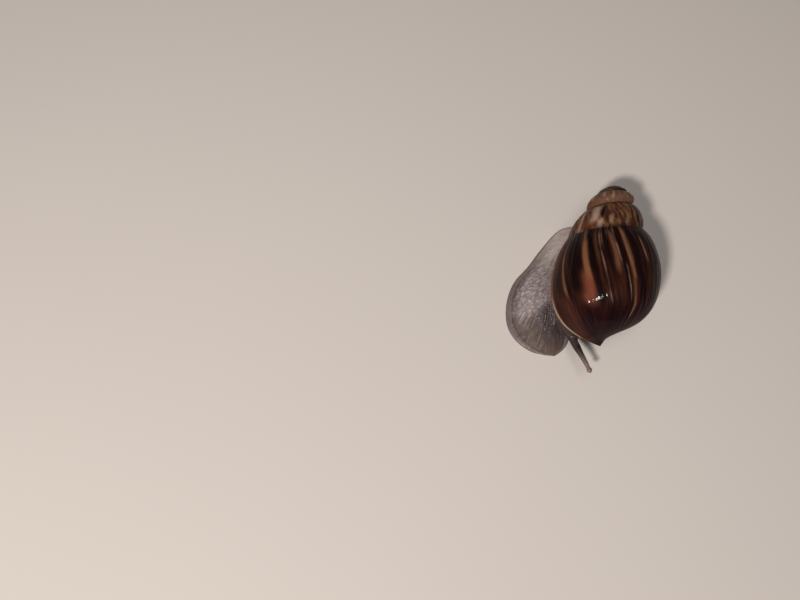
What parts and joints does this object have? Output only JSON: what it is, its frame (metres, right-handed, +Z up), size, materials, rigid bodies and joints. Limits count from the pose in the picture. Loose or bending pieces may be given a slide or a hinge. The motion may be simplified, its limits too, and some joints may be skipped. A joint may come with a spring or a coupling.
{
  "type": "giant african land snail",
  "caption": "Life-size still model of a giant African land snail at rest, brown flamed spiral shell over a soft grey foot, head turned under the shell lip.",
  "frame": {"origin": "middle of the animal's footprint, on the floor", "axes": "+Y from the head towards the tip of the shell, +Z up, +X towards the side that the shell leans on"},
  "size_m": [0.0513, 0.0671, 0.0332],
  "materials": {
    "shell": "glossy dark brown shell with lighter flames",
    "dark_flesh": "wet dark grey-brown flesh",
    "pale_flesh": "wet pale grey flesh",
    "eye": "glossy black eye"
  },
  "bodies": {
    "root": {"shell": "shell", "mantle": "dark_flesh", "neck": "dark_flesh", "head": "dark_flesh", "foot_front": "dark_flesh", "foot_middle": "pale_flesh", "tail": "pale_flesh", "upper_feeler_right": "dark_flesh", "upper_feeler_left": "dark_flesh", "lower_feeler_right": "dark_flesh", "lower_feeler_left": "dark_flesh", "eye_right": "eye", "eye_left": "eye"}
  },
  "joints": []
}
